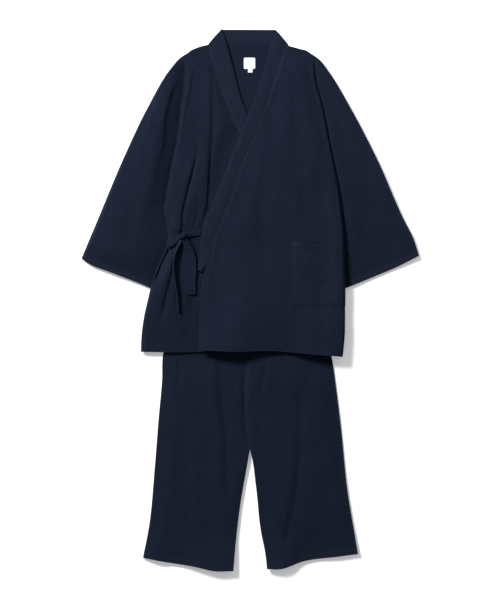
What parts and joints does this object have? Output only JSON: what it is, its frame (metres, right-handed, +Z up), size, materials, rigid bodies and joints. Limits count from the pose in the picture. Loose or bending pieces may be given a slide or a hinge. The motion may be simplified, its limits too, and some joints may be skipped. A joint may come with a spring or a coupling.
{
  "type": "samue set",
  "caption": "Cotton samue laid flat: a wrap jacket with wide sleeves, band collar, patch pocket and side tie, over wide cropped trousers.",
  "frame": {"origin": "centre of the bounding box at the surface the set lies on", "axes": "+X towards the wearer's left, +Y towards the collar, +Z up from the surface"},
  "size_m": [0.8272, 1.3276, 0.0212],
  "materials": {
    "navy_cotton": "matt navy cotton with a fine uneven weave",
    "white_tape": "matt white woven tape, bare"
  },
  "bodies": {
    "root": {"collar": "navy_cotton", "jacket_back": "navy_cotton", "jacket_front_left": "navy_cotton", "jacket_front_right": "navy_cotton", "sleeve_left": "navy_cotton", "sleeve_right": "navy_cotton", "pocket": "navy_cotton", "tie_side": "navy_cotton", "tie_front": "navy_cotton", "tie_knot": "navy_cotton", "tie_tail_left": "navy_cotton", "tie_tail_right": "navy_cotton", "neck_label": "white_tape", "size_tab": "white_tape", "trouser_front_left": "navy_cotton", "trouser_front_right": "navy_cotton", "trouser_back_left": "navy_cotton", "trouser_back_right": "navy_cotton", "waistband": "navy_cotton"}
  },
  "joints": []
}
